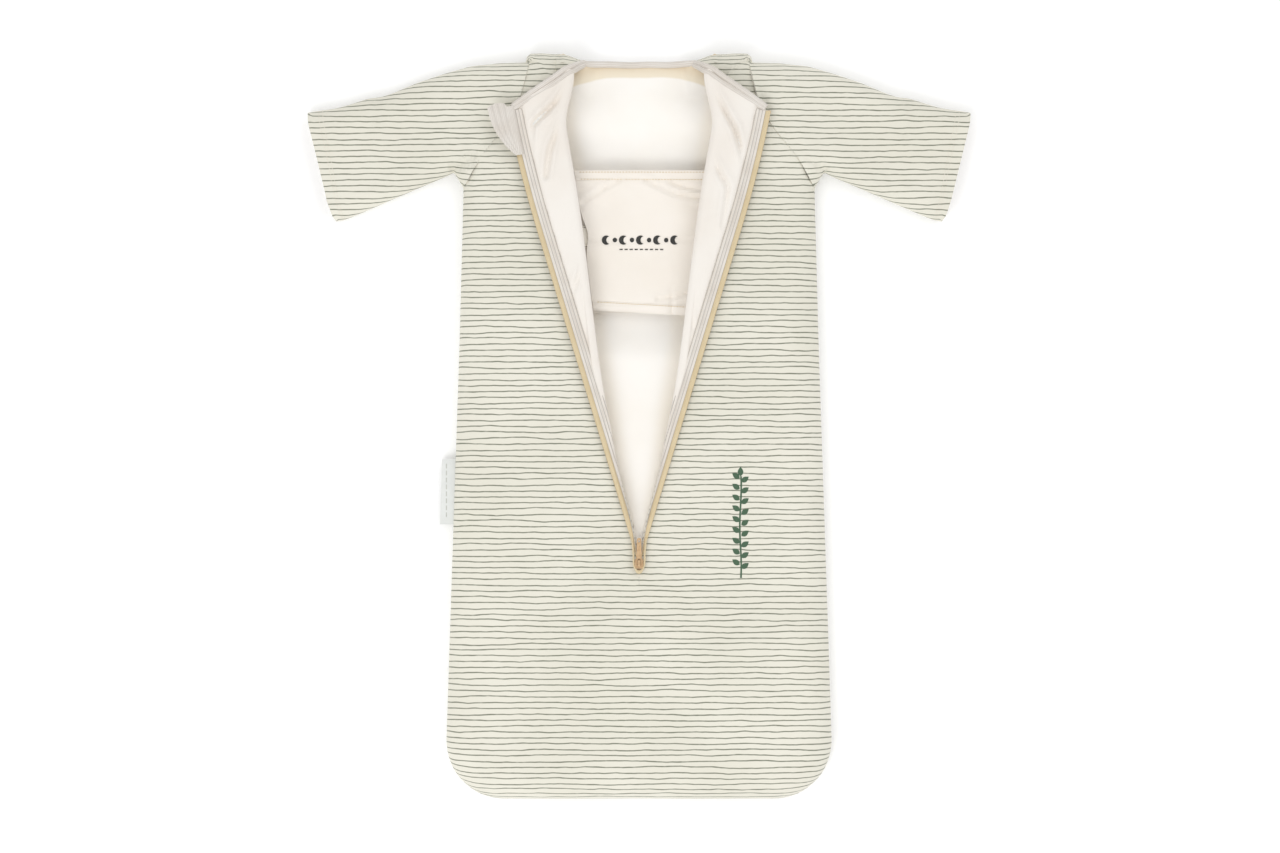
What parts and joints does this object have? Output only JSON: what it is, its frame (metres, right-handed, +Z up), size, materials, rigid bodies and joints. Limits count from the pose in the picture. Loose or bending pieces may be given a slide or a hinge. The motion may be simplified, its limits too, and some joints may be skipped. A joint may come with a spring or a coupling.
{
  "type": "baby sleeping bag",
  "caption": "Padded baby sleeping bag with long sleeves, a front zip opened in a V with both lapels folded back, and a crossed swaddle wrap sewn inside at the chest.",
  "frame": {"origin": "middle of the footprint of the bag lying on its back, at floor level", "axes": "+X to the right of someone looking down on the open front, +Y towards the head end, +Z up out of the front"},
  "size_m": [0.6294, 0.706, 0.0551],
  "materials": {
    "printed_jersey": "cream cotton jersey printed with fine wavy grey-green lines",
    "wadding": "white polyester wadding",
    "cream_jersey": "plain warm-white cotton jersey",
    "rib_binding": "light grey-beige folded rib binding",
    "zip_tape": "tan woven zip tape",
    "zip_coil": "tan nylon coil",
    "zip_metal": "tan lacquered zinc",
    "label": "pale grey woven satin",
    "touch_fastener": "soft hook-and-loop tape"
  },
  "bodies": {
    "bag": {"outer_back": "printed_jersey", "wadding_back": "wadding", "lining_back": "cream_jersey", "outer_front": "printed_jersey", "wadding_front": "wadding", "lining_front": "cream_jersey", "back_neck_binding": "rib_binding", "side_label": "label", "care_label": "label", "zip_bottom_stop": "zip_metal", "wrap_anchor": "cream_jersey", "wrap_under_wing": "cream_jersey", "wrap_over_side": "cream_jersey", "loop_patch": "touch_fastener", "sleeve_head_left": "printed_jersey", "sleeve_head_right": "printed_jersey"},
    "left_lapel": {"lapel_shell_left": "printed_jersey", "lapel_wadding_left": "wadding", "lapel_lining_left": "cream_jersey", "lapel_neck_binding_left": "rib_binding", "zip_facing_left": "rib_binding", "zip_tape_left": "zip_tape", "zip_coil_left": "zip_coil", "zip_top_stop_left": "zip_metal", "chin_guard": "rib_binding"},
    "right_lapel": {"lapel_shell_right": "printed_jersey", "lapel_wadding_right": "wadding", "lapel_lining_right": "cream_jersey", "lapel_neck_binding_right": "rib_binding", "zip_facing_right": "rib_binding", "zip_tape_right": "zip_tape", "zip_coil_right": "zip_coil", "zip_top_stop_right": "zip_metal"},
    "slider": {"zip_slider_body": "zip_metal", "zip_slider_bail": "zip_metal"},
    "pull": {"zip_pull": "zip_metal"},
    "left_sleeve": {"sleeve_shell_left": "printed_jersey", "sleeve_lining_left": "cream_jersey", "cuff_hem_left": "cream_jersey"},
    "right_sleeve": {"sleeve_shell_right": "printed_jersey", "sleeve_lining_right": "cream_jersey", "cuff_hem_right": "cream_jersey"},
    "wrap_wing": {"wrap_over_wing": "cream_jersey", "wrap_top_hem": "cream_jersey", "hook_patch": "touch_fastener"}
  },
  "joints": [
    {"name": "left_lapel_fold", "type": "hinge", "parent": "bag", "child": "left_lapel", "pos_m": [0, -0.1328, 0.037], "axis": [-0.1469, 0.9891, 0], "range_deg": [0, 175], "deforming": ["zip_tape_left", "zip_coil_left", "chin_guard"]},
    {"name": "right_lapel_fold", "type": "hinge", "parent": "bag", "child": "right_lapel", "pos_m": [0, -0.1328, 0.037], "axis": [-0.1469, -0.9891, 0], "range_deg": [0, 175], "deforming": ["zip_tape_right", "zip_coil_right"]},
    {"name": "zip", "type": "slide", "parent": "bag", "child": "slider", "axis": [0, 1, 0], "range_m": [0, 0.432]},
    {"name": "zip_pull_swing", "type": "hinge", "parent": "slider", "child": "pull", "pos_m": [0, -0.129, 0.04175], "axis": [1, 0, 0], "range_deg": [0, 175]},
    {"name": "wrap_wing_fold", "type": "hinge", "parent": "bag", "child": "wrap_wing", "pos_m": [0.03212, 0.107, 0.0192], "axis": [-0.1469, -0.9891, 0], "range_deg": [-85, 0]},
    {"name": "left_sleeve_swing", "type": "hinge", "parent": "bag", "child": "left_sleeve", "pos_m": [-0.13425, 0.2945, 0.013], "axis": [0, 0, -1], "range_deg": [-20, 20], "deforming": ["sleeve_head_left"]},
    {"name": "right_sleeve_swing", "type": "hinge", "parent": "bag", "child": "right_sleeve", "pos_m": [0.13425, 0.2945, 0.013], "axis": [0, 0, 1], "range_deg": [-20, 20], "deforming": ["sleeve_head_right"]}
  ],
  "couplings": [
    {"joint": "right_lapel_fold", "follows": "left_lapel_fold", "ratio": 1},
    {"joint": "zip", "follows": "left_lapel_fold", "m_per_rad": 0.14144}
  ]
}
